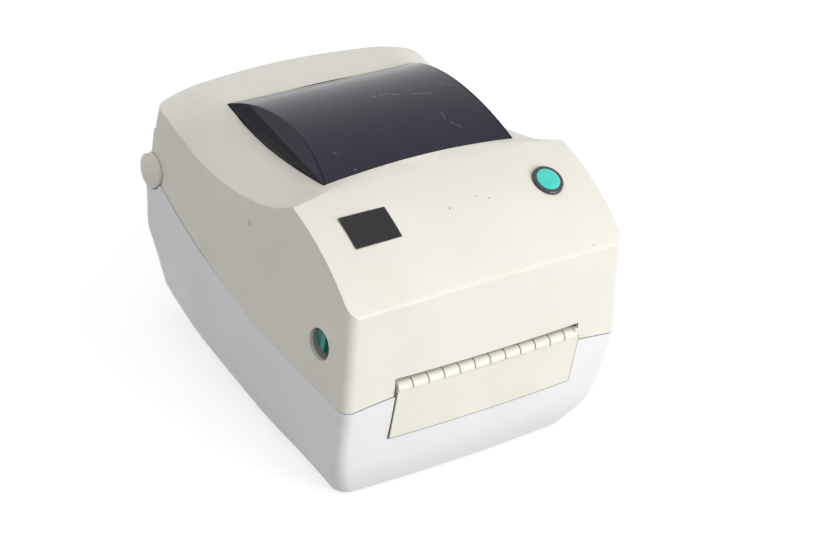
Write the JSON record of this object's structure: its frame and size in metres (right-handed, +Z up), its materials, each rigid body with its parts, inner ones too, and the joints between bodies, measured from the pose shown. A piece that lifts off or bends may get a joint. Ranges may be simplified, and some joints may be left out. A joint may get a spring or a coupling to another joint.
{
  "type": "barcode label printer",
  "caption": "Desktop thermal-transfer label printer with a hinged cover, smoked window, feed button, finger latches and a ribbed label exit.",
  "frame": {"origin": "on the table under the middle of the printer's outline, cover shut", "axes": "+X to the right of a person facing the printer, +Y from the front to the back, +Z up"},
  "size_m": [0.2022, 0.2385, 0.1728],
  "materials": {
    "cover_plastic": "fine-textured warm white injection-moulded ABS",
    "base_plastic": "fine-textured cool white injection-moulded ABS",
    "panel_plastic": "fine-textured cream injection-moulded ABS",
    "smoked_window": "polished smoked polycarbonate",
    "badge_black": "smooth dark plate",
    "ring_grey": "satin dark grey ABS",
    "button_teal": "smooth green-blue translucent cap",
    "latch_teal": "smooth dark green-blue acetal",
    "deck_grey": "fine-textured grey ABS",
    "holder_grey": "smooth grey acetal",
    "dark_plastic": "satin black glass-filled nylon",
    "acetal_white": "smooth white acetal",
    "platen_rubber": "ground rubber",
    "foot_rubber": "moulded rubber",
    "plated_steel": "zinc-plated sheet steel",
    "shaft_steel": "ground steel",
    "spring_steel": "drawn spring wire",
    "sink_aluminium": "extruded aluminium",
    "head_ceramic": "glazed ceramic strip",
    "board_green": "solder-masked glass-epoxy board",
    "part_black": "moulded component bodies",
    "socket_shell": "plated socket shells"
  },
  "bodies": {
    "base": {"base_shell": "base_plastic", "inner_deck": "deck_grey", "front_panel": "panel_plastic", "tear_bar": "plated_steel", "switch_housing": "part_black", "power_inlet": "part_black", "usb_port": "socket_shell", "parallel_port": "part_black", "serial_port": "socket_shell", "left_side_plate": "plated_steel", "right_side_plate": "plated_steel", "stepper_motor": "shaft_steel", "idler_post": "shaft_steel", "platen_bushes": "dark_plastic", "main_board": "board_green", "board_parts": "part_black", "deck_screws": "plated_steel", "label_sensor": "part_black", "rubber_feet": "foot_rubber", "hinge_caps": "cover_plastic"},
    "lid": {"top_cover": "cover_plastic", "window": "smoked_window", "badge_plate": "badge_black", "button_ring": "ring_grey", "button_board": "board_green", "ribbon_frame": "dark_plastic", "ribbon_motor": "shaft_steel", "frame_screws": "plated_steel", "head_springs": "spring_steel"},
    "feed_button": {"feed_button": "button_teal"},
    "latch_left": {"latch_left": "latch_teal"},
    "latch_right": {"latch_right": "latch_teal"},
    "print_head": {"head_bracket": "plated_steel", "heat_sink": "sink_aluminium", "head_strip": "head_ceramic"},
    "supply_left": {"supply_hub_left": "acetal_white"},
    "supply_right": {"supply_hub_right": "acetal_white"},
    "takeup_left": {"takeup_hub_left": "acetal_white", "takeup_gear": "acetal_white"},
    "takeup_right": {"takeup_hub_right": "acetal_white"},
    "ribbon_pinion": {"ribbon_pinion": "acetal_white"},
    "platen": {"platen_shaft": "shaft_steel", "platen_rubber": "platen_rubber", "platen_gear": "acetal_white"},
    "idler": {"drive_idler": "acetal_white"},
    "motor_rotor": {"motor_shaft": "shaft_steel", "motor_pinion": "acetal_white"},
    "roll_holder_left": {"roll_holder_left": "holder_grey"},
    "roll_holder_right": {"roll_holder_right": "holder_grey"},
    "holder_pinion": {"holder_pinion": "acetal_white"},
    "label_guide_left": {"label_guide_left": "holder_grey"},
    "label_guide_right": {"label_guide_right": "holder_grey"},
    "guide_pinion": {"guide_pinion": "acetal_white"},
    "power_rocker": {"power_rocker": "part_black"}
  },
  "joints": [
    {"name": "lid_hinge", "type": "hinge", "parent": "base", "child": "lid", "pos_m": [0, 0.0987, 0.1022], "axis": [-1, 0, 0], "range_deg": [0, 75]},
    {"name": "feed_button_press", "type": "slide", "parent": "lid", "child": "feed_button", "axis": [0, 0.3598, -0.933], "range_m": [0, 0.0012], "stiffness_N_per_m": 600, "springref_m": -0.0006},
    {"name": "latch_left_press", "type": "slide", "parent": "lid", "child": "latch_left", "axis": [0, -1, 0], "range_m": [0, 0.003], "stiffness_N_per_m": 500, "springref_m": -0.001},
    {"name": "latch_right_press", "type": "slide", "parent": "lid", "child": "latch_right", "axis": [0, -1, 0], "range_m": [0, 0.003], "stiffness_N_per_m": 500, "springref_m": -0.001},
    {"name": "head_pivot", "type": "hinge", "parent": "lid", "child": "print_head", "pos_m": [0, -0.07, 0.097], "axis": [-1, 0, 0], "range_deg": [0, 3], "stiffness_Nm_per_rad": 6, "springref_deg": -8.59},
    {"name": "supply_left_spin", "type": "hinge", "parent": "lid", "child": "supply_left", "pos_m": [0, -0.046, 0.13], "axis": [1, 0, 0], "continuous": true},
    {"name": "supply_right_spin", "type": "hinge", "parent": "lid", "child": "supply_right", "pos_m": [0, -0.046, 0.13], "axis": [1, 0, 0], "continuous": true},
    {"name": "takeup_left_spin", "type": "hinge", "parent": "lid", "child": "takeup_left", "pos_m": [0, -0.084, 0.116], "axis": [1, 0, 0], "continuous": true},
    {"name": "takeup_right_spin", "type": "hinge", "parent": "lid", "child": "takeup_right", "pos_m": [0, -0.084, 0.116], "axis": [1, 0, 0], "continuous": true},
    {"name": "ribbon_motor_spin", "type": "hinge", "parent": "lid", "child": "ribbon_pinion", "pos_m": [0, -0.06342, 0.11237], "axis": [1, 0, 0], "continuous": true},
    {"name": "platen_spin", "type": "hinge", "parent": "base", "child": "platen", "pos_m": [0, -0.098, 0.076], "axis": [1, 0, 0], "continuous": true},
    {"name": "idler_spin", "type": "hinge", "parent": "base", "child": "idler", "pos_m": [0, -0.07994, 0.05447], "axis": [1, 0, 0], "continuous": true},
    {"name": "motor_spin", "type": "hinge", "parent": "base", "child": "motor_rotor", "pos_m": [0, -0.05973, 0.04135], "axis": [1, 0, 0], "continuous": true},
    {"name": "roll_holder_right_slide", "type": "slide", "parent": "base", "child": "roll_holder_right", "axis": [-1, 0, 0], "range_m": [0, 0.036]},
    {"name": "roll_holder_left_slide", "type": "slide", "parent": "base", "child": "roll_holder_left", "axis": [1, 0, 0], "range_m": [0, 0.036]},
    {"name": "holder_pinion_spin", "type": "hinge", "parent": "base", "child": "holder_pinion", "pos_m": [0, 0.028, 0.016], "axis": [0, 0, 1], "range_deg": [0, 516]},
    {"name": "label_guide_right_slide", "type": "slide", "parent": "base", "child": "label_guide_right", "axis": [-1, 0, 0], "range_m": [0, 0.03]},
    {"name": "label_guide_left_slide", "type": "slide", "parent": "base", "child": "label_guide_left", "axis": [1, 0, 0], "range_m": [0, 0.03]},
    {"name": "guide_pinion_spin", "type": "hinge", "parent": "base", "child": "guide_pinion", "pos_m": [0, -0.058, 0.0615], "axis": [0, 0, 1], "range_deg": [0, 430]},
    {"name": "power_rocker_tilt", "type": "hinge", "parent": "base", "child": "power_rocker", "pos_m": [-0.048, 0.0804, 0.0206], "axis": [1, 0, 0], "range_deg": [-14, 0]}
  ],
  "couplings": [
    {"joint": "idler_spin", "follows": "platen_spin", "ratio": -0.55556},
    {"joint": "motor_spin", "follows": "platen_spin", "ratio": 1.6667},
    {"joint": "ribbon_motor_spin", "follows": "takeup_left_spin", "ratio": -3.3333},
    {"joint": "roll_holder_left_slide", "follows": "roll_holder_right_slide", "ratio": 1},
    {"joint": "holder_pinion_spin", "follows": "roll_holder_right_slide", "rad_per_m": 250},
    {"joint": "label_guide_left_slide", "follows": "label_guide_right_slide", "ratio": 1},
    {"joint": "guide_pinion_spin", "follows": "label_guide_right_slide", "rad_per_m": 250}
  ]
}
